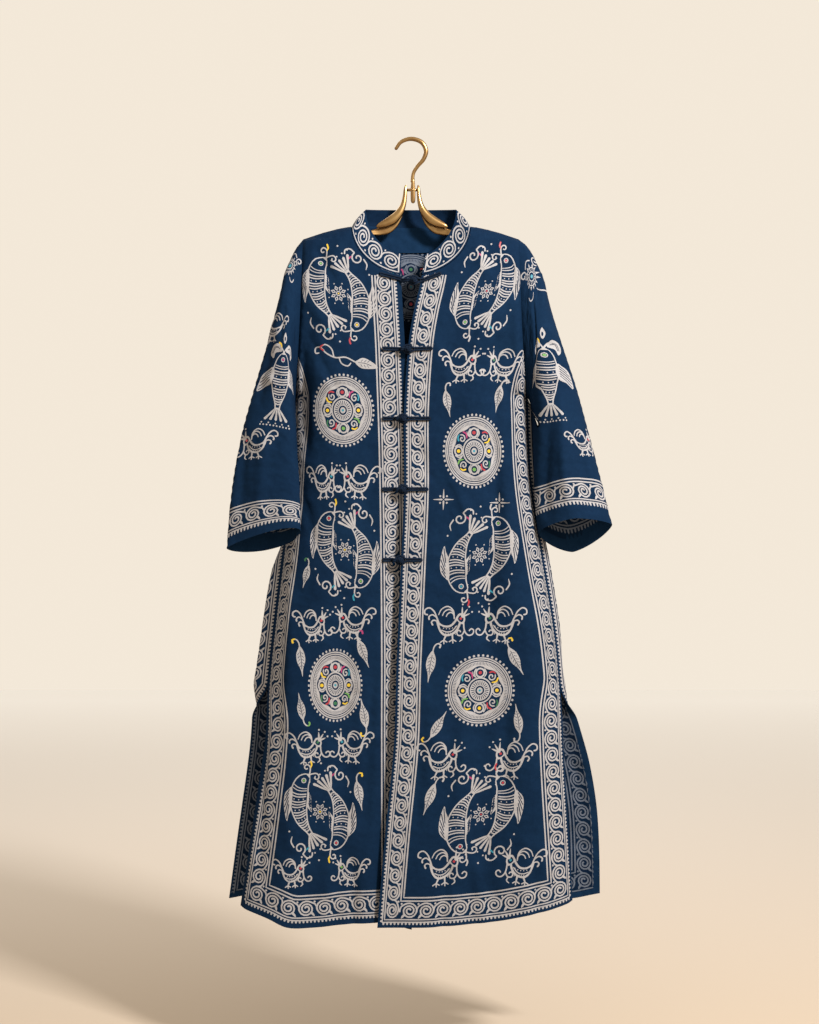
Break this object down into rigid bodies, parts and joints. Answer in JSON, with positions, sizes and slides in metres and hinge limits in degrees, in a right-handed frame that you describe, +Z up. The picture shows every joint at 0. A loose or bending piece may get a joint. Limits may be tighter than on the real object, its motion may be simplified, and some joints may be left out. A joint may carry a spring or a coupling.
{
  "type": "long batik jacket on a brass hanger",
  "caption": "Knee-length indigo wax-resist cotton jacket with a stand collar, knotted frogs, wide sleeves and side vents, hung open-necked on a brass hanger.",
  "frame": {"origin": "the inner top of the hanger's hook, where it hangs on a nail or rail", "axes": "+Z up, +X to the wearer's left, +Y to the back, so the jacket faces -Y"},
  "size_m": [0.6121, 0.1237, 1.2571],
  "materials": {
    "batik_cotton": "indigo cotton with a wax-resist pattern in undyed white",
    "plain_cotton": "plain indigo cotton",
    "frog_cord": "rolled bias cord of dark indigo cotton",
    "aged_brass": "old polished brass with brown patina"
  },
  "bodies": {
    "root": {"front_left": "batik_cotton", "front_right": "batik_cotton", "back": "batik_cotton", "sleeve_left": "batik_cotton", "sleeve_right": "batik_cotton", "collar": "batik_cotton", "back_neck_facing": "plain_cotton", "frog_1_knot": "frog_cord", "frog_1_loop": "frog_cord", "frog_2_knot": "frog_cord", "frog_2_loop": "frog_cord", "frog_3_knot": "frog_cord", "frog_3_loop": "frog_cord", "frog_4_knot": "frog_cord", "frog_4_loop": "frog_cord", "frog_5_knot": "frog_cord", "frog_5_loop": "frog_cord", "hanger_hook": "aged_brass", "hanger_arm_left": "aged_brass", "hanger_arm_right": "aged_brass"}
  },
  "joints": []
}
